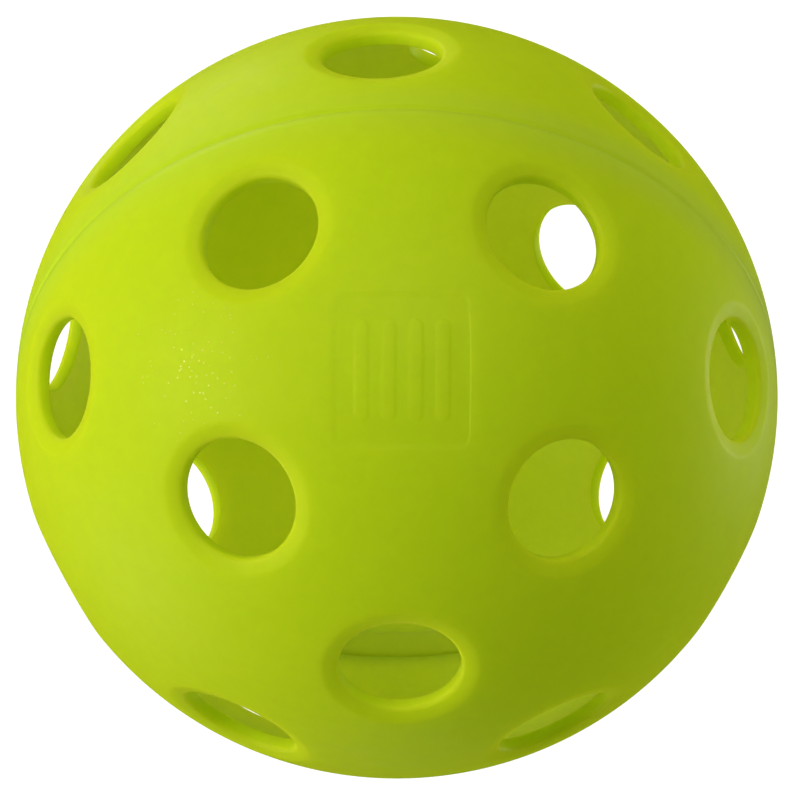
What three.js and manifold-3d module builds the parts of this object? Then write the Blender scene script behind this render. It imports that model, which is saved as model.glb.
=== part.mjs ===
// An indoor pickleball: two injection-moulded half shells, welded together at the equator.
// Both halves are the same moulding. Each has 13 round holes: one at the pole, a ring of
// four and a ring of eight. The origin is the ball's centre, +Z runs through the pole hole
// of the upper half, and the weld seam lies in the XY plane. Half a turn about X swaps the
// two halves. All sizes are in millimetres and all named angles in degrees.
import * as THREE from 'three';
import { mergeVertices } from 'three/addons/utils/BufferGeometryUtils.js';
import Module from 'manifold-3d';

const wasm = await Module();
wasm.setup();

// Ball
const ballRadius = 37;
const wallThickness = 1.9;
const innerRadius = ballRadius - wallThickness;

// Two halves would be in step if the holes of one ring of eight stood half a pitch from
// the other's. They were welded a little short of that.
const halfPitch = 22.5;
const weldMisalignment = 2.9;
const eightRingAzimuth = (halfPitch - weldMisalignment) / 2;

// Holes
const ringPitch = 36;
const holeRings = [
  { count: 1, polar: 0, firstAzimuth: 0 },
  { count: 4, polar: ringPitch, firstAzimuth: eightRingAzimuth + halfPitch },
  { count: 8, polar: 2 * ringPitch, firstAzimuth: eightRingAzimuth },
];
const throatRadius = 5.7;
const rimRadius = 7.25;
const lipSlope = 15;
const filletRadius = 0.7;
const innerEdgeChamfer = 0.15;

// The lip of each pole hole is faced flat, at the height that the ball's surface has this
// far from the hole's axis, and the ball stands on it
const landRadius = 7.9;

// Weld seam: a small V outside, and the bead of plastic squeezed out inside
const seamChamfer = 0.05;
const beadWidth = 3.1;
const beadHeight = 0.8;

// Facets
const ballSegments = 40;
const outerArcSteps = 10;
const innerArcSteps = 8;
const holeSegments = 20;
const filletSteps = 3;
const beadContactSteps = 2;
const beadCrownSteps = 4;
const mergeTolerance = 1e-5;

const shellColor = 0xa8c61c;
const beadColor = 0x9dbb1a;

const radians = THREE.MathUtils.degToRad;
const beadAngle = Math.asin(beadWidth / 2 / innerRadius);

function plasticMaterial(color) {
  return new THREE.MeshStandardMaterial({ color, roughness: 0.45, metalness: 0 });
}

// A solid of revolution about +Z, from [radius, height] points given anticlockwise.
function revolve(points, segments) {
  const profile = points.map(([radius, height]) => new THREE.Vector2(radius, height));
  return new THREE.LatheGeometry(profile, segments).rotateX(Math.PI / 2);
}

function toManifold(geometry) {
  const bare = geometry.clone();
  bare.deleteAttribute('normal');
  bare.deleteAttribute('uv');
  const merged = mergeVertices(bare, mergeTolerance);
  return new wasm.Manifold(new wasm.Mesh({
    numProp: 3,
    vertProperties: merged.attributes.position.array,
    triVerts: Uint32Array.from(merged.index.array),
  }));
}

function toGeometry(solid) {
  const mesh = solid.getMesh();
  const geometry = new THREE.BufferGeometry();
  geometry.setAttribute('position', new THREE.BufferAttribute(mesh.vertProperties, 3));
  geometry.setIndex(new THREE.BufferAttribute(mesh.triVerts, 1));
  geometry.computeVertexNormals();
  return geometry;
}

// Points on a circle about the origin, from one elevation to another, both in radians.
function arc(radius, from, to, steps) {
  const points = [];
  for (let i = 0; i <= steps; i += 1) {
    const elevation = from + (to - from) * i / steps;
    points.push([radius * Math.cos(elevation), radius * Math.sin(elevation)]);
  }
  return points;
}

// The plain half shell, before its holes: a bowl with its open side in the XY plane.
function halfBowl() {
  const pole = Math.PI / 2;
  const outerStart = Math.asin(seamChamfer / ballRadius);
  const outer = arc(ballRadius, outerStart, pole, outerArcSteps);
  const inner = arc(innerRadius, pole, beadAngle, innerArcSteps);
  outer[outer.length - 1][0] = 0;
  inner[0][0] = 0;
  const profile = [[ballRadius - seamChamfer, 0], ...outer, ...inner, [innerRadius, 0]];
  profile.push(profile[0]);
  return revolve(profile, ballSegments);
}

// Height of a sphere's surface above a plane through its centre, at a distance from the axis.
function sphereHeight(sphereRadius, distance) {
  return Math.sqrt(sphereRadius ** 2 - distance ** 2);
}

// The tool for one hole, along +Z. From a crease at the rim the lip slopes in, then it turns
// down to the cylindrical throat in a fillet. The slope and the depths are measured from the
// ball's surface.
function holeCutter() {
  const below = innerRadius - 2 * wallThickness;
  const above = ballRadius + wallThickness;
  const chamferBase = throatRadius + innerEdgeChamfer;
  const innerFace = sphereHeight(innerRadius, chamferBase);
  const slope = radians(lipSlope);
  const filletStart = throatRadius + filletRadius * (1 - Math.sin(slope));
  const slopeDepth = (rimRadius - filletStart) * Math.tan(slope);
  const fillet = [];
  for (let i = 0; i <= filletSteps; i += 1) {
    const angle = Math.PI / 2 + (slope - Math.PI / 2) * i / filletSteps;
    const distance = throatRadius + filletRadius * (1 - Math.sin(angle));
    const depth = slopeDepth + filletRadius * (Math.cos(slope) - Math.cos(angle));
    fillet.push([distance, sphereHeight(ballRadius, distance) - depth]);
  }
  const profile = [
    [0, below],
    [chamferBase, below],
    [chamferBase, innerFace],
    [throatRadius, innerFace + innerEdgeChamfer],
    ...fillet,
    [rimRadius, sphereHeight(ballRadius, rimRadius)],
    [rimRadius, above],
    [0, above],
  ];
  return revolve(profile, holeSegments);
}

// Turns a tool that lies along +Z to a polar angle and an azimuth, both in degrees.
function aim(geometry, polar, azimuth) {
  return geometry.clone().rotateY(radians(polar)).rotateZ(radians(azimuth));
}

// Everything above the flat land round the pole hole.
function landCutter() {
  const height = sphereHeight(ballRadius, landRadius);
  const size = 2 * ballRadius;
  return new THREE.BoxGeometry(size, size, size).translate(0, 0, height + size / 2);
}

function halfShell() {
  let solid = toManifold(halfBowl());
  const cutter = holeCutter();
  for (const { count, polar, firstAzimuth } of holeRings) {
    for (let i = 0; i < count; i += 1) {
      const azimuth = firstAzimuth + 360 / count * i;
      solid = solid.subtract(toManifold(aim(cutter, polar, azimuth)));
    }
  }
  return toGeometry(solid.subtract(toManifold(landCutter())));
}

// The bead lies against both halves' inner faces, and its crown is half an ellipse.
function weldBead() {
  const edgeRadius = innerRadius * Math.cos(beadAngle);
  const crown = [];
  for (let i = 0; i <= beadCrownSteps; i += 1) {
    const angle = Math.PI / 2 - Math.PI * i / beadCrownSteps;
    crown.push([edgeRadius - beadHeight * Math.cos(angle), beadWidth / 2 * Math.sin(angle)]);
  }
  const contact = arc(innerRadius, -beadAngle, beadAngle, beadContactSteps);
  crown[0] = contact[beadContactSteps];
  crown[beadCrownSteps] = contact[0];
  return revolve([...contact, ...crown.slice(1)], ballSegments);
}

function node(name, geometry, color) {
  const mesh = new THREE.Mesh(geometry, plasticMaterial(color));
  mesh.name = name;
  return mesh;
}

const shellGeometry = halfShell();
const ball = new THREE.Group();
ball.add(node('upper_half_shell', shellGeometry, shellColor));

const lowerHalf = node('lower_half_shell', shellGeometry, shellColor);
lowerHalf.rotation.x = Math.PI;
ball.add(lowerHalf);

ball.add(node('seam_weld_bead', weldBead(), beadColor));

export default ball;
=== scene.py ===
"""An indoor pickleball: two welded half shells with round flared holes, on a plain pale floor."""
import math

import bpy
import numpy as np
from mathutils import Matrix, Vector
from mathutils.geometry import delaunay_2d_cdt


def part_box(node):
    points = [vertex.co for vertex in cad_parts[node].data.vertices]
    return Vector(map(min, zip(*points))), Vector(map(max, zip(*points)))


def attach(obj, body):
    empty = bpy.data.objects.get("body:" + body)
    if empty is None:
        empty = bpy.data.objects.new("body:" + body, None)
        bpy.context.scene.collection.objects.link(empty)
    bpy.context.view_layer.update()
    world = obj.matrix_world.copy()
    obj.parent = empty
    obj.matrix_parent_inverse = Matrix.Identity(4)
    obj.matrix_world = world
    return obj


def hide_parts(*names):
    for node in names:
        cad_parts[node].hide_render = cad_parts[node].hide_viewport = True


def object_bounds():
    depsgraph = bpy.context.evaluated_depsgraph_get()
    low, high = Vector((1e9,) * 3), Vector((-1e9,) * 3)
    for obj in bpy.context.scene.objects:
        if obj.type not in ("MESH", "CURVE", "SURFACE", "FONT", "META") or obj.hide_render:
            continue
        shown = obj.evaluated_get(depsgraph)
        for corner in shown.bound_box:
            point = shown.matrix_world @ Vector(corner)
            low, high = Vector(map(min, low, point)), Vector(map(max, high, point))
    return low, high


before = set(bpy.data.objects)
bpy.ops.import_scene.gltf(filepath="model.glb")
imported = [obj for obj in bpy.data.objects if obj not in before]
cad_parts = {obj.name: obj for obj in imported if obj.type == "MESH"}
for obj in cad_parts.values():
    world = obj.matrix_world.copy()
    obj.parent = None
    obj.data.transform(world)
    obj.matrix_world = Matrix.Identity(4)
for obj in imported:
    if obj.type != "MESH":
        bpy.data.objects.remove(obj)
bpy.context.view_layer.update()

MM = 0.001

# Ball
shell_low, shell_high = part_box("upper_half_shell")
BALL_RADIUS = shell_high[0]
WALL = 1.9 * MM
INNER_RADIUS = BALL_RADIUS - WALL

# Holes, as rings round the pole of a half: how many, polar angle, azimuth of the first
HALF_PITCH = 22.5
WELD_MISALIGNMENT = 2.9
EIGHT_RING_AZIMUTH = (HALF_PITCH - WELD_MISALIGNMENT) / 2
RING_PITCH = 36
HOLE_RINGS = (
    (1, 0, 0),
    (4, RING_PITCH, EIGHT_RING_AZIMUTH + HALF_PITCH),
    (8, 2 * RING_PITCH, EIGHT_RING_AZIMUTH),
)
THROAT_RADIUS = 5.7 * MM
RIM_RADIUS = 7.3 * MM
LIP_SLOPE = 20
FILLET_RADIUS = 0.6 * MM
CREASE_HALF_WIDTH = 0.3 * MM
INNER_EDGE_ROUND = 0.15 * MM
COLLAR_RADIUS = 8.8 * MM

# Weld
SEAM_GROOVE = 0.01 * MM
BEAD_WIDTH = 3.1 * MM
BEAD_HEIGHT = 0.8 * MM
BEAD_OVERLAP = 0.2 * MM

# Panel for a mark, sunk in the upper half: its centre, and its size across and up the ball
PANEL_POLAR = 47.7
PANEL_AZIMUTH = -102.6
PANEL_HALF_WIDTH = 6.3 * MM
PANEL_HALF_HEIGHT = 7.1 * MM
PANEL_CORNER = 0.9 * MM
PANEL_DEPTH = 0.1 * MM
BAR_COUNT = 4
BAR_PITCH = 2.5 * MM
BAR_HALF_LENGTH = 4.0 * MM
BAR_RADIUS = 0.62 * MM
BAR_HEIGHT = 0.08 * MM
BAR_STEP = 0.2 * MM
# Half widths of the step down to the panel, at its left, its right and its two ends, as the
# camera sees it with the upper half's pole hole below
LEFT_STEP = 0.3 * MM
RIGHT_STEP = 0.07 * MM
END_STEP = 0.4 * MM
CORNER_STEP = 0.25 * MM

# Mesh fineness
HOLE_SEGMENTS = 96
COLLAR_STEPS = 5
CREASE_STEPS = 7
SLOPE_STEPS = 5
FILLET_STEPS = 12
EDGE_STEPS = 4
SEAM_SEGMENTS = 240
SKIN_SPACING = 1.0 * MM
LOOP_SPACING = 0.35 * MM
PANEL_SPACING = 0.55 * MM
PANEL_CLEARANCE = 0.9 * MM
CORNER_FINENESS = 1.6
INNER_COLLAR_RADIUS = COLLAR_RADIUS - 1.2 * MM
INNER_COLLAR_STEPS = 4
COLLAR_GAP = 0.6
FEWEST_IN_ROW = 6
JOIN_TOLERANCE = 1e-9

# The steps of the panel and the bars are meshed as loops at these levels, in half widths of a
# step out from its middle. A point's level is found by halving, within a limit, and the points
# between the steps keep this far from them.
STEP_LEVELS = (-1.2, -0.75, -0.25, 0.25, 0.75, 1.2)
LEVEL_LIMIT = 3.0
LEVEL_HALVINGS = 20
LEVEL_MARGIN = 0.4
BAR_MARGIN = 0.15 * MM
# A bar's corner radius as a share of its half width, so that its ends are round
ROUND_ENDS = 0.999

# A direction is near the panel when its cosine with the panel's is above this
NEAR_PANEL = 0.9
# Cosines below this are raised to it before a division
LEAST_COSINE = 0.2
# Two directions this near to parallel have no usable cross product
LEAST_SINE = 0.01

# The bead's unevenness
BEAD_SEED = 7
BEAD_STEPS = 28
BEAD_SEGMENTS = 360
BEAD_WAVES = range(3, 30)
SWELL_FALLOFF = 0.7
DRIFT_FALLOFF = 0.9
SWELL_SHARE = 0.1
DRIFT = 0.12 * MM
CROWN_POWER = 0.6


def direction(polar, azimuth):
    """The unit vector at a polar angle from +Z and an azimuth, in degrees."""
    polar, azimuth = math.radians(polar), math.radians(azimuth)
    flat = math.sin(polar)
    return np.array([flat * math.cos(azimuth), flat * math.sin(azimuth), math.cos(polar)])


def hole_axes():
    axes = []
    for count, polar, first in HOLE_RINGS:
        for i in range(count):
            axes.append(direction(polar, first + 360 / count * i))
    return axes


def sphere_height(radius, distance):
    return math.sqrt(radius ** 2 - distance ** 2)


class Builder:
    """Collects vertices and faces for one closed mesh."""

    def __init__(self):
        self.points = []
        self.faces = []

    def add(self, points):
        first = len(self.points)
        self.points.extend(tuple(p) for p in points)
        return list(range(first, len(self.points)))

    def bridge(self, a, b):
        """Quads between two rings of as many vertices."""
        n = len(a)
        for i in range(n):
            j = (i + 1) % n
            self.faces.append((a[i], a[j], b[j], b[i]))


# ---------------------------------------------------------------- panel
def panel_axes():
    centre = direction(PANEL_POLAR, PANEL_AZIMUTH)
    across = np.cross([0, 0, 1], centre)
    across /= np.linalg.norm(across)
    return centre, across, np.cross(centre, across)


def panel_coordinates(unit):
    """Where directions lie on the panel's plane, in metres across and up the ball."""
    centre, across, up = panel_axes()
    scale = BALL_RADIUS / np.maximum(unit @ centre, LEAST_COSINE)
    return (unit @ across) * scale, (unit @ up) * scale


def rounded_distance(u, v, half_width, half_height, corner):
    """Signed distance to a rounded rectangle about the origin, negative inside."""
    du = np.abs(u) - (half_width - corner)
    dv = np.abs(v) - (half_height - corner)
    outside = np.hypot(np.maximum(du, 0), np.maximum(dv, 0))
    return outside + np.minimum(np.maximum(du, dv), 0) - corner


def panel_outline(level):
    """Shift, half width, half height and corner of the panel's edge, level step widths out."""
    return (level * (LEFT_STEP - RIGHT_STEP) / 2,
            PANEL_HALF_WIDTH + level * (RIGHT_STEP + LEFT_STEP) / 2,
            PANEL_HALF_HEIGHT + level * END_STEP,
            PANEL_CORNER + level * CORNER_STEP)


def panel_level(u, v):
    """How many step widths out from the panel's edge points lie, within LEVEL_LIMIT."""
    low = np.full(np.shape(u), -LEVEL_LIMIT)
    high = np.full(np.shape(u), LEVEL_LIMIT)
    for _ in range(LEVEL_HALVINGS):
        middle = (low + high) / 2
        shift, half_width, half_height, corner = panel_outline(middle)
        out = rounded_distance(u - shift, v, half_width, half_height, corner) > 0
        low = np.where(out, middle, low)
        high = np.where(out, high, middle)
    return low


def bar_centres():
    return [(i - (BAR_COUNT - 1) / 2) * BAR_PITCH for i in range(BAR_COUNT)]


def bar_distance(u, v):
    """Signed distance to the nearest raised bar."""
    along = np.maximum(np.abs(v) - BAR_HALF_LENGTH, 0)
    return np.minimum.reduce([np.hypot(u - c, along) for c in bar_centres()]) - BAR_RADIUS


def inside(level):
    """1 inside an edge by a step's half width or more, 0 as far outside, smooth between."""
    t = np.clip(0.5 - level / 2, 0, 1)
    return t * t * (3 - 2 * t)


def near_panel(unit):
    return unit @ panel_axes()[0] > NEAR_PANEL


def relief(unit):
    """Height above the ball's surface, which the panel sinks and its bars raise."""
    u, v = panel_coordinates(unit)
    bars = BAR_HEIGHT * inside(bar_distance(u, v) / BAR_STEP)
    sunk = PANEL_DEPTH * inside(panel_level(u, v))
    return np.where(near_panel(unit), bars - sunk, 0.0)


def outline(half_width, half_height, corner, spacing):
    """Points round a rounded rectangle, anticlockwise."""
    points = []
    corners = ((1, 1, 0), (-1, 1, 90), (-1, -1, 180), (1, -1, 270))
    turns = max(2, round(corner * math.pi / 2 / spacing * CORNER_FINENESS))
    for k, (sx, sy, start) in enumerate(corners):
        cx, cy = sx * (half_width - corner), sy * (half_height - corner)
        for i in range(turns + 1):
            a = math.radians(start + 90 * i / turns)
            points.append((cx + corner * math.cos(a), cy + corner * math.sin(a)))
        nx, ny, nstart = corners[(k + 1) % 4]
        a = math.radians(nstart)
        end = (nx * (half_width - corner) + corner * math.cos(a),
               ny * (half_height - corner) + corner * math.sin(a))
        here = points[-1]
        gap = math.hypot(end[0] - here[0], end[1] - here[1])
        steps = max(1, round(gap / spacing))
        for i in range(1, steps):
            t = i / steps
            points.append((here[0] + (end[0] - here[0]) * t, here[1] + (end[1] - here[1]) * t))
    return np.array(points)


def on_panel(flat):
    """Directions for points given in metres across and up the panel."""
    centre, across, up = panel_axes()
    unit = centre + (np.outer(flat[:, 0], across) + np.outer(flat[:, 1], up)) / BALL_RADIUS
    return unit / np.linalg.norm(unit, axis=1, keepdims=True)


def panel_loops():
    """Loops that follow the step of the panel and of each bar, and points to fill inside them."""
    loops = []
    for level in STEP_LEVELS:
        shift, half_width, half_height, corner = panel_outline(level)
        loop = outline(half_width, half_height, corner, LOOP_SPACING)
        loops.append(on_panel(loop + np.array([shift, 0])))
        radius = BAR_RADIUS + level * BAR_STEP
        for centre in bar_centres():
            loop = outline(radius, BAR_HALF_LENGTH + radius, ROUND_ENDS * radius, LOOP_SPACING)
            loops.append(on_panel(loop + np.array([centre, 0])))
    us = np.arange(-PANEL_HALF_WIDTH, PANEL_HALF_WIDTH, PANEL_SPACING)
    vs = np.arange(-PANEL_HALF_HEIGHT, PANEL_HALF_HEIGHT, PANEL_SPACING)
    u, v = (grid.ravel() for grid in np.meshgrid(us, vs))
    outermost = STEP_LEVELS[-1]
    clear = outermost * BAR_STEP + BAR_MARGIN
    inside_panel = panel_level(u, v) < -outermost - LEVEL_MARGIN
    off_bars = bar_distance(u, v) > clear
    on_a_bar = bar_distance(u, v) < -clear
    keep = inside_panel & off_bars | on_a_bar
    return loops, on_panel(np.stack([u, v], 1)[keep])


# ---------------------------------------------------------------- shells
def lip_profile():
    """(distance from the hole's axis, height along it), from the collar in to the inner wall.

    From a soft crease at the rim the lip slopes in, and then it turns down to the throat in a
    fillet. Depths are measured from the ball's surface.
    """
    slope = math.radians(LIP_SLOPE)
    fillet_start = THROAT_RADIUS + FILLET_RADIUS * (1 - math.sin(slope))

    def lip_depth(distance):
        inwards = RIM_RADIUS - distance
        if abs(inwards) < CREASE_HALF_WIDTH:
            return (inwards + CREASE_HALF_WIDTH) ** 2 / (4 * CREASE_HALF_WIDTH) * math.tan(slope)
        return max(0, inwards) * math.tan(slope)

    crease = np.linspace(RIM_RADIUS + CREASE_HALF_WIDTH, RIM_RADIUS - CREASE_HALF_WIDTH, CREASE_STEPS)
    flank = np.linspace(crease[-1], fillet_start, SLOPE_STEPS)
    collar = np.linspace(COLLAR_RADIUS, crease[0], COLLAR_STEPS)
    lip = [(distance, lip_depth(distance)) for distance in (*collar, *crease[1:], *flank[1:])]
    for angle in np.linspace(slope, math.pi / 2, FILLET_STEPS)[1:]:
        turned = FILLET_RADIUS * (math.cos(slope) - math.cos(angle))
        lip.append((THROAT_RADIUS + FILLET_RADIUS * (1 - math.sin(angle)),
                    lip_depth(fillet_start) + turned))
    profile = [(distance, sphere_height(BALL_RADIUS, distance) - depth) for distance, depth in lip]

    edge = THROAT_RADIUS + INNER_EDGE_ROUND
    base = sphere_height(INNER_RADIUS, edge)
    for angle in np.linspace(0, math.pi / 2, EDGE_STEPS + 1)[::-1]:
        profile.append((edge - INNER_EDGE_ROUND * math.sin(angle),
                        base + INNER_EDGE_ROUND * (1 - math.cos(angle))))
    for distance in np.linspace(edge, INNER_COLLAR_RADIUS, INNER_COLLAR_STEPS + 1)[1:]:
        profile.append((distance, sphere_height(INNER_RADIUS, distance)))
    return profile


def hole_frame(axis):
    side = np.cross(axis, [0, 0, 1])
    if np.linalg.norm(side) < LEAST_SINE:
        side = np.array([1.0, 0.0, 0.0])
    side = side / np.linalg.norm(side)
    return side, np.cross(axis, side)


def ring_points(axis, distance, height):
    side, other = hole_frame(axis)
    turn = np.arange(HOLE_SEGMENTS) * 2 * math.pi / HOLE_SEGMENTS
    points = np.outer(np.cos(turn), side) + np.outer(np.sin(turn), other)
    return points * distance + axis * height


def seam_ring(radius, height):
    turn = np.arange(SEAM_SEGMENTS) * 2 * math.pi / SEAM_SEGMENTS
    return np.stack([radius * np.cos(turn), radius * np.sin(turn),
                     np.full(SEAM_SEGMENTS, height)], 1)


def skin_filler(radius, spacing, axes, clear_of):
    """Directions in rows of latitude over the half sphere, clear of the holes' collars."""
    units = []
    rows = int((math.pi / 2) * radius / spacing)
    for k in range(1, rows):
        polar = math.pi / 2 * k / rows
        count = max(FEWEST_IN_ROW, round(2 * math.pi * radius * math.sin(polar) / spacing))
        for i in range(count):
            azimuth = 2 * math.pi * (i + 0.5 * (k % 2)) / count
            units.append(direction(math.degrees(polar), math.degrees(azimuth)))
    units = np.array(units)
    limit = math.cos(math.asin(clear_of / radius) + COLLAR_GAP * spacing / radius)
    keep = np.ones(len(units), bool)
    for axis in axes:
        keep &= units @ axis < limit
    return units[keep]


def fill_skin(mesh, holes, seam, creases, filler, radius, shape, outward):
    """Triangles over the half sphere, between the holes' collars and the seam.

    holes and seam are loops of vertex numbers. creases are loops of directions that the
    triangles' edges follow, and filler is the directions of single vertices.
    """
    loops = [*holes, seam]
    for units in creases:
        loops.append(mesh.add(units * (radius + shape(units))[:, None]))
    index = []
    edges = []
    for loop in loops:
        start, n = len(index), len(loop)
        edges += [(start + i, start + (i + 1) % n) for i in range(n)]
        index += loop
    index += mesh.add(filler * (radius + shape(filler))[:, None])
    points = np.array([mesh.points[i] for i in index])
    points /= np.linalg.norm(points, axis=1, keepdims=True)
    flat = points[:, :2] / (1 + points[:, 2:3])
    owner = np.full(len(index), -1)
    start = 0
    for k, loop in enumerate(holes):
        owner[start:start + len(loop)] = k
        start += len(loop)
    found = delaunay_2d_cdt([Vector(p) for p in flat], edges, [], 0, JOIN_TOLERANCE)
    origin = [o[0] for o in found[3]]
    for face in found[2]:
        a, b, c = (origin[i] for i in face)
        if owner[a] >= 0 and owner[a] == owner[b] == owner[c]:
            continue
        ax, ay = flat[b] - flat[a]
        bx, by = flat[c] - flat[a]
        face = (index[a], index[b], index[c])
        if (ax * by - ay * bx > 0) != outward:
            face = face[::-1]
        mesh.faces.append(face)


def plain(units):
    return np.zeros(len(units))


def clear_of_panel(units):
    u, v = panel_coordinates(units)
    gap = rounded_distance(u, v, PANEL_HALF_WIDTH, PANEL_HALF_HEIGHT, PANEL_CORNER)
    return (gap > PANEL_CLEARANCE) | ~near_panel(units)


def half_shell(with_panel):
    """The upper half's mesh, and the numbers of its flat faces and of its inner faces."""
    mesh = Builder()
    axes = hole_axes()
    profile = lip_profile()
    outer_loops, inner_loops = [], []
    collars = []
    for axis in axes:
        rings = [mesh.add(ring_points(axis, *p)) for p in profile]
        for k, (a, b) in enumerate(zip(rings, rings[1:])):
            if k >= len(rings) - 1 - INNER_COLLAR_STEPS:
                collars += range(len(mesh.faces), len(mesh.faces) + HOLE_SEGMENTS)
            mesh.bridge(a, b)
        outer_loops.append(rings[0])
        inner_loops.append(rings[-1])
    lift = math.asin(SEAM_GROOVE / BALL_RADIUS)
    outer_seam = mesh.add(seam_ring(BALL_RADIUS * math.cos(lift), BALL_RADIUS * math.sin(lift)))
    groove = mesh.add(seam_ring(BALL_RADIUS - SEAM_GROOVE, 0))
    inner_seam = mesh.add(seam_ring(INNER_RADIUS, 0))
    first_flat = len(mesh.faces)
    mesh.bridge(groove, outer_seam)
    mesh.bridge(inner_seam, groove)
    flat_faces = range(first_flat, len(mesh.faces))

    outer = skin_filler(BALL_RADIUS, SKIN_SPACING, axes, COLLAR_RADIUS)
    if with_panel:
        creases, points = panel_loops()
        outer = np.concatenate([outer[clear_of_panel(outer)], points])
        fill_skin(mesh, outer_loops, outer_seam, creases, outer, BALL_RADIUS, relief, True)
    else:
        fill_skin(mesh, outer_loops, outer_seam, [], outer, BALL_RADIUS, plain, True)
    inner = skin_filler(INNER_RADIUS, SKIN_SPACING, axes, INNER_COLLAR_RADIUS)
    first = len(mesh.faces)
    fill_skin(mesh, inner_loops, inner_seam, [], inner, INNER_RADIUS, plain, False)
    inner_faces = [*collars, *range(first, len(mesh.faces))]
    return mesh, flat_faces, inner_faces


def bead():
    """The ring of plastic squeezed out along the inside of the seam.

    Its crown swells and drifts along the seam. Its back lies a little inside the wall.
    """
    mesh = Builder()
    rng = np.random.default_rng(BEAD_SEED)
    turn = np.arange(BEAD_SEGMENTS) * 2 * math.pi / BEAD_SEGMENTS
    swell = np.zeros(BEAD_SEGMENTS)
    drift = np.zeros(BEAD_SEGMENTS)
    for waves in BEAD_WAVES:
        swell_phase, drift_phase = rng.uniform(0, 2 * math.pi, 2)
        swell += np.sin(waves * turn + swell_phase) / waves ** SWELL_FALLOFF
        drift += np.sin(waves * turn + drift_phase) / waves ** DRIFT_FALLOFF
    swell = 1 + SWELL_SHARE * swell / np.abs(swell).max()
    drift = DRIFT * drift / np.abs(drift).max()
    edge = math.asin(BEAD_WIDTH / 2 / INNER_RADIUS)
    edge_radius = INNER_RADIUS * math.cos(edge)
    back_radius = INNER_RADIUS + BEAD_OVERLAP
    rings = []
    for angle in np.linspace(math.pi / 2, -math.pi / 2, BEAD_STEPS + 1):
        radius = edge_radius - BEAD_HEIGHT * swell * abs(math.cos(angle)) ** CROWN_POWER
        z = BEAD_WIDTH / 2 * math.sin(angle) + drift * math.cos(angle)
        rings.append(mesh.add(np.stack([radius * np.cos(turn), radius * np.sin(turn), z], 1)))
    for elevation in np.linspace(-edge, edge, BEAD_STEPS + 1):
        radius = back_radius * math.cos(elevation)
        z = np.full(BEAD_SEGMENTS, back_radius * math.sin(elevation))
        rings.append(mesh.add(np.stack([radius * np.cos(turn), radius * np.sin(turn), z], 1)))
    for a, b in zip(rings, rings[1:] + rings[:1]):
        mesh.bridge(a, b)
    return mesh


def make_object(name, mesh, materials, turned=False, flat_faces=(), inner_faces=()):
    """A Blender object of the mesh, turned half way round about X if asked."""
    points = np.array(mesh.points)
    if turned:
        points = points * np.array([1, -1, -1])
    data = bpy.data.meshes.new(name)
    data.from_pydata([tuple(p) for p in points], [], mesh.faces)
    smooth = np.ones(len(data.polygons), bool)
    for i in flat_faces:
        smooth[i] = False
    data.polygons.foreach_set("use_smooth", smooth)
    for one in materials:
        data.materials.append(one)
    for i in inner_faces:
        data.polygons[i].material_index = 1
    data.validate()
    data.update()
    obj = bpy.data.objects.new(name, data)
    bpy.context.scene.collection.objects.link(obj)
    return obj


# ---------------------------------------------------------------- materials
# Colours. The inside's and the weld bead's limes are lighter copies of the shell's: painted light,
# standing in for light shining through the wall.
LIME = (0.675, 0.92, 0.012)
PALE_LIME = (0.715, 0.93, 0.03)
INNER_LIME = (0.8, 0.95, 0.08)
PALE_INNER_LIME = (0.82, 0.955, 0.1)
WELD_LIME = (0.93, 0.99, 0.06)

# Uneven colour, gloss and surface: the size of the blotches and how far they vary
CLOUD_SIZE = 22 * MM
MOTTLE_SIZE = 1.8 * MM
SHADE_VARIATION = 0.015
PALE_SIZE = 9 * MM
PALE_MOST = 0.06
SATIN_SIZE = 2.6 * MM
SATIN_VARIATION = 0.05
WAVE_SIZE = 5 * MM
WAVE_HEIGHT = 0.02 * MM
GRAIN_SIZE = 0.25 * MM
BUMP_STRENGTH = 0.5
# Noise stays mostly between these two values, and pale patches are where it is high
NOISE_LOW = 0.3
NOISE_HIGH = 0.7
PALE_FROM = 0.45
PALE_FULL = 0.8

# Smooth specks in a patch of the upper half, placed where the key light's highlight falls; their pale
# colour is a painted glint
FLECK_SPACING = 0.5 * MM
FLECK_RADIUS = 0.105 * MM
FLECK_CORE = 0.7
FLECK_SHARE = 0.85
FLECK_PLACE = BALL_RADIUS * direction(56.6, -65.0)
FLECK_REACH = 8.5 * MM
FLECK_COLOR = (0.88, 1.0, 0.14)
FLECK_ROUGHNESS = 0.12

# Gloss, and light scattered in the wall. It can't cross the seam, so it fades towards it.
PLASTIC_IOR = 1.5
PLASTIC_SPECULAR = 0.25
SHEEN_TINT = (1.0, 1.0, 0.35, 1)
SCATTER_RADIUS = (1.0, 1.0, 0.4)
SCATTER_DEPTH = 3.5 * MM
NO_SCATTER_BELOW = 0.3 * MM
OUTER_FULL_SCATTER = 5.0 * MM
INNER_FULL_SCATTER = 4.0 * MM


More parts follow.
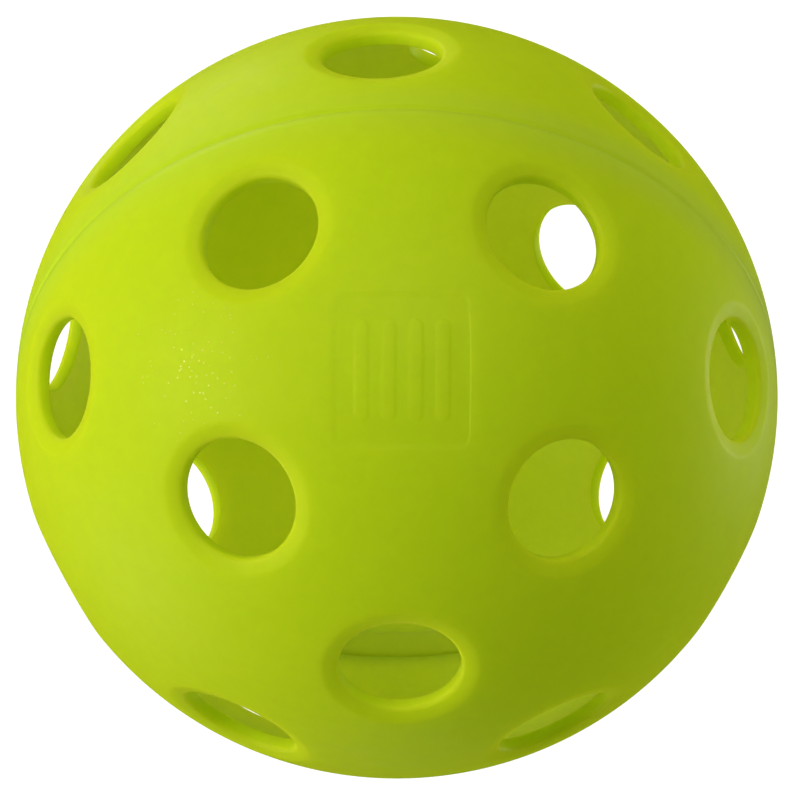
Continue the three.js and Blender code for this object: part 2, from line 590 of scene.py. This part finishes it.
class Shading:
    """The nodes of one plastic, with object coordinates as every texture's place."""

    def __init__(self, name):
        self.material = bpy.data.materials.new(name)
        self.material.use_nodes = True
        self.nodes = self.material.node_tree.nodes
        self.links = self.material.node_tree.links
        self.shader = self.nodes["Principled BSDF"]
        self.place = self.nodes.new("ShaderNodeTexCoord").outputs["Object"]

    def noise(self, size, detail=2.0, distortion=0.0):
        """Noise from 0 to 1 whose blotches are about size metres across."""
        node = self.nodes.new("ShaderNodeTexNoise")
        node.inputs["Scale"].default_value = 1 / size
        node.inputs["Detail"].default_value = detail
        node.inputs["Distortion"].default_value = distortion
        self.links.new(self.place, node.inputs["Vector"])
        return node.outputs["Fac"]

    def cells(self, size):
        """Distance to the nearest of many scattered points, in cells, and its random colour."""
        node = self.nodes.new("ShaderNodeTexVoronoi")
        node.inputs["Scale"].default_value = 1 / size
        self.links.new(self.place, node.inputs["Vector"])
        return node.outputs["Distance"], node.outputs["Color"]

    def ramp(self, value, low, high, start, end, smooth=False):
        node = self.nodes.new("ShaderNodeMapRange")
        if smooth:
            node.interpolation_type = "SMOOTHSTEP"
        node.inputs["From Min"].default_value = low
        node.inputs["From Max"].default_value = high
        node.inputs["To Min"].default_value = start
        node.inputs["To Max"].default_value = end
        self.links.new(value, node.inputs["Value"])
        return node.outputs[0]

    def math(self, operation, first, second=None):
        node = self.nodes.new("ShaderNodeMath")
        node.operation = operation
        for k, value in enumerate((first, second)):
            if isinstance(value, (int, float)):
                node.inputs[k].default_value = value
            elif value is not None:
                self.links.new(value, node.inputs[k])
        return node.outputs[0]

    def split(self, vector, axis):
        node = self.nodes.new("ShaderNodeSeparateXYZ")
        self.links.new(vector, node.inputs[0])
        return node.outputs[axis]

    def distance_from(self, point):
        node = self.nodes.new("ShaderNodeVectorMath")
        node.operation = "DISTANCE"
        node.inputs[1].default_value = point
        self.links.new(self.place, node.inputs[0])
        return node.outputs["Value"]

    def bump(self, height, distance, strength, below=None):
        node = self.nodes.new("ShaderNodeBump")
        node.inputs["Distance"].default_value = distance
        node.inputs["Strength"].default_value = strength
        self.links.new(height, node.inputs["Height"])
        if below is not None:
            self.links.new(below, node.inputs["Normal"])
        return node.outputs[0]

    def scaled(self, color, shade):
        node = self.nodes.new("ShaderNodeVectorMath")
        node.operation = "SCALE"
        node.inputs[0].default_value = color
        self.links.new(shade, node.inputs["Scale"])
        return node.outputs[0]

    def towards(self, color, other, amount):
        node = self.nodes.new("ShaderNodeMix")
        node.data_type = "RGBA"
        node.inputs["B"].default_value = (*other, 1)
        self.links.new(amount, node.inputs["Factor"])
        self.links.new(color, node.inputs["A"])
        return node.outputs["Result"]


def uneven_shade(shading):
    """Brightness from clouds and a finer mottle, about 1."""
    low, high = 1 - SHADE_VARIATION, 1 + SHADE_VARIATION
    cloud = shading.ramp(shading.noise(CLOUD_SIZE), NOISE_LOW, NOISE_HIGH, low, high)
    mottle = shading.ramp(shading.noise(MOTTLE_SIZE, 3.0), NOISE_LOW, NOISE_HIGH, low, high)
    return shading.math("MULTIPLY", cloud, mottle)


def fleck_mask(shading):
    """1 on a smooth speck, which also gets a painted glint colour, and 0 between them. There are
    fewer of them towards the patch's edge.
    """
    distance, random = shading.cells(FLECK_SPACING)
    radius = FLECK_RADIUS / FLECK_SPACING
    dot = shading.ramp(distance, radius, FLECK_CORE * radius, 0.0, 1.0)
    away = shading.distance_from(FLECK_PLACE)
    share = shading.ramp(away, FLECK_REACH, 0.0, 0.0, FLECK_SHARE)
    chosen = shading.math("LESS_THAN", shading.split(random, 0), share)
    return shading.math("MULTIPLY", dot, chosen)


def plastic(name, color, pale, roughness, grain, full_scatter, flecks=False):
    """Moulded polyethylene: slightly blotchy and wavy, with a fine grain. The inside's and the weld
    bead's colours passed in are painted lighter than the shell's, and when asked, smooth specks get a
    painted glint colour.
    """
    shading = Shading(name)
    shader = shading.shader
    patches = shading.noise(PALE_SIZE, 3.0, 0.6)
    pale_amount = shading.ramp(patches, PALE_FROM, PALE_FULL, 0.0, PALE_MOST)
    tint = shading.towards(shading.scaled(color, uneven_shade(shading)), pale, pale_amount)
    satin = shading.ramp(shading.noise(SATIN_SIZE, 4.0), NOISE_LOW, NOISE_HIGH,
                         roughness - SATIN_VARIATION, roughness + SATIN_VARIATION)
    if flecks:
        fleck = fleck_mask(shading)
        # Painted glint: the specks' pale colour is mixed into the base colour, while their lower
        # roughness below is real gloss.
        tint = shading.towards(tint, FLECK_COLOR, fleck)
        smoother = shading.math("MULTIPLY", fleck, roughness - FLECK_ROUGHNESS)
        satin = shading.math("SUBTRACT", satin, smoother)
    shading.links.new(tint, shader.inputs["Base Color"])
    shading.links.new(satin, shader.inputs["Roughness"])

    waves = shading.bump(shading.noise(WAVE_SIZE, 1.0), WAVE_HEIGHT, BUMP_STRENGTH)
    fine = shading.bump(shading.noise(GRAIN_SIZE, 2.0), grain, BUMP_STRENGTH, waves)
    shading.links.new(fine, shader.inputs["Normal"])

    shader.inputs["IOR"].default_value = PLASTIC_IOR
    shader.inputs["Specular IOR Level"].default_value = PLASTIC_SPECULAR
    shader.inputs["Specular Tint"].default_value = SHEEN_TINT
    shader.inputs["Subsurface Radius"].default_value = SCATTER_RADIUS
    shader.inputs["Subsurface Scale"].default_value = SCATTER_DEPTH
    off_seam = shading.math("ABSOLUTE", shading.split(shading.place, 2))
    scatter = shading.ramp(off_seam, NO_SCATTER_BELOW, full_scatter, 0.0, 1.0, smooth=True)
    shading.links.new(scatter, shader.inputs["Subsurface Weight"])
    return shading.material


shell_plastic = plastic("shell_plastic_lime", LIME, PALE_LIME, roughness=0.5,
                        grain=0.002 * MM, full_scatter=OUTER_FULL_SCATTER, flecks=True)
# The inside is painted lighter than the shell: painted light for light shining through the wall.
inner_plastic = plastic("shell_plastic_inner_painted_lighter", INNER_LIME, PALE_INNER_LIME, roughness=0.5,
                        grain=0.003 * MM, full_scatter=INNER_FULL_SCATTER)
# The weld bead is painted lighter than the shell: painted light for light shining through the wall.
weld_plastic = plastic("weld_plastic_lime_painted_lighter", WELD_LIME, PALE_INNER_LIME, roughness=0.48,
                       grain=0.006 * MM, full_scatter=OUTER_FULL_SCATTER)

# ---------------------------------------------------------------- pieces
shell_materials = (shell_plastic, inner_plastic)
mesh, flat_faces, inner_faces = half_shell(True)
upper = make_object("upper_shell_moulding", mesh, shell_materials, False, flat_faces, inner_faces)
mesh, flat_faces, inner_faces = half_shell(False)
lower = make_object("lower_shell_moulding", mesh, shell_materials, True, flat_faces, inner_faces)
weld = make_object("inner_weld_bead", bead(), (weld_plastic,))

for piece, node, slot in (
    (upper, "upper_half_shell", "shell_plastic"),
    (lower, "lower_half_shell", "shell_plastic"),
    (weld, "seam_weld_bead", "weld_plastic"),
):
    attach(piece, "root")
    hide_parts(node)

# ---------------------------------------------------------------- stage
FLOOR_HALF = 3.0
floor_data = bpy.data.meshes.new("floor")
floor_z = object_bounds()[0][2]
floor_data.from_pydata(
    [(x * FLOOR_HALF, y * FLOOR_HALF, floor_z) for x, y in ((-1, -1), (1, -1), (1, 1), (-1, 1))],
    [], [(0, 1, 2, 3)])
floor = bpy.data.objects.new("floor", floor_data)
bpy.context.scene.collection.objects.link(floor)
floor.visible_diffuse = False
floor.visible_glossy = False
floor.visible_shadow = False

FLOOR_GLOW = 1.0
floor_material = bpy.data.materials.new("floor_white")
floor_material.use_nodes = True
shader = floor_material.node_tree.nodes["Principled BSDF"]
shader.inputs["Base Color"].default_value = (0.3, 0.3, 0.3, 1)
shader.inputs["Roughness"].default_value = 0.9
shader.inputs["Specular IOR Level"].default_value = 0.0
shader.inputs["Emission Color"].default_value = (1, 1, 1, 1)
shader.inputs["Emission Strength"].default_value = FLOOR_GLOW
floor_data.materials.append(floor_material)

# ---------------------------------------------------------------- camera
CAMERA_AZIMUTH = -11.5
CAMERA_ELEVATION = 46.2
CAMERA_ROLL = 179.3
CAMERA_DISTANCE = 13.8 * BALL_RADIUS
CAMERA_LENS = 236
CAMERA_SENSOR = 36
CAMERA_SHIFT = (0.0041, -0.003)


def camera_direction():
    azimuth, elevation = math.radians(CAMERA_AZIMUTH), math.radians(CAMERA_ELEVATION)
    return Vector((math.sin(azimuth) * math.cos(elevation),
                   -math.cos(azimuth) * math.cos(elevation),
                   math.sin(elevation)))


camera_data = bpy.data.cameras.new("camera")
camera_data.lens = CAMERA_LENS
camera_data.sensor_width = CAMERA_SENSOR
camera_data.shift_x, camera_data.shift_y = CAMERA_SHIFT
camera_data.clip_start = 0.01
camera_data.clip_end = 50
camera = bpy.data.objects.new("camera", camera_data)
bpy.context.scene.collection.objects.link(camera)
towards = camera_direction()
turn = (-towards).to_track_quat("-Z", "Y").to_matrix()
turn = turn @ Matrix.Rotation(math.radians(CAMERA_ROLL), 3, "Z")
camera.matrix_world = Matrix.Translation(towards * CAMERA_DISTANCE) @ turn.to_4x4()
bpy.context.scene.camera = camera
right, up = turn.col[0], turn.col[1]

# ---------------------------------------------------------------- lights
LIGHT_DISTANCE = 0.9


def area_light(name, place, size, power):
    """place is how far to the picture's right, its top and the viewer the light stands."""
    data = bpy.data.lights.new(name, "AREA")
    data.shape = "DISK"
    data.size = size
    data.energy = power
    light = bpy.data.objects.new(name, data)
    light.visible_camera = False
    bpy.context.scene.collection.objects.link(light)
    where = (right * place[0] + up * place[1] + towards * place[2]).normalized()
    light.matrix_world = (Matrix.Translation(where * LIGHT_DISTANCE)
                          @ where.to_track_quat("Z", "Y").to_matrix().to_4x4())


area_light("key", (-0.85, 0.1, 0.5), 0.4, 3.24)
area_light("top_front", (0.0, 0.4, 0.8), 0.4, 1.9)
area_light("left_back", (-0.8, -0.55, -0.2), 0.5, 0.95)
area_light("rim_right", (0.8, 0.0, -0.6), 0.35, 0.8)
area_light("rim_top_left", (-0.45, 0.75, -0.6), 0.35, 0.6)
area_light("rim_bottom", (0.0, -0.8, -0.6), 0.35, 0.12)

# The sky's brightness in front of the ball, beside it and behind it. The first step goes
# from the front to the sides and the second on to the back, each between two cosines with
# the direction away from the viewer.
SKY_FRONT = 0.1
SKY_SIDE = 0.59
SKY_BACK = 0.68
SKY_STEPS = (
    (-0.6, 0.2, SKY_FRONT, SKY_SIDE),
    (0.2, 0.9, 0, SKY_BACK - SKY_SIDE),
)


def sky():
    """Surroundings brighter behind the ball than in front, and white to the camera."""
    world = bpy.data.worlds.new("studio")
    bpy.context.scene.world = world
    world.use_nodes = True
    world.cycles_visibility.glossy = False
    nodes, links = world.node_tree.nodes, world.node_tree.links
    background = nodes["Background"]
    background.inputs["Color"].default_value = (1, 1, 1, 1)
    coordinates = nodes.new("ShaderNodeTexCoord")
    backward = nodes.new("ShaderNodeVectorMath")
    backward.operation = "DOT_PRODUCT"
    backward.inputs[1].default_value = -towards
    links.new(coordinates.outputs["Generated"], backward.inputs[0])
    total = nodes.new("ShaderNodeMath")
    for k, (low, high, start, end) in enumerate(SKY_STEPS):
        step = nodes.new("ShaderNodeMapRange")
        step.interpolation_type = "SMOOTHSTEP"
        step.inputs["From Min"].default_value = low
        step.inputs["From Max"].default_value = high
        step.inputs["To Min"].default_value = start
        step.inputs["To Max"].default_value = end
        links.new(backward.outputs["Value"], step.inputs["Value"])
        links.new(step.outputs[0], total.inputs[k])
    seen = nodes.new("ShaderNodeMix")
    seen.inputs["B"].default_value = 1.0
    path = nodes.new("ShaderNodeLightPath")
    links.new(total.outputs[0], seen.inputs["A"])
    links.new(path.outputs["Is Camera Ray"], seen.inputs["Factor"])
    links.new(seen.outputs["Result"], background.inputs["Strength"])


sky()

scene = bpy.context.scene
scene.view_settings.view_transform = "Standard"
scene.view_settings.look = "None"
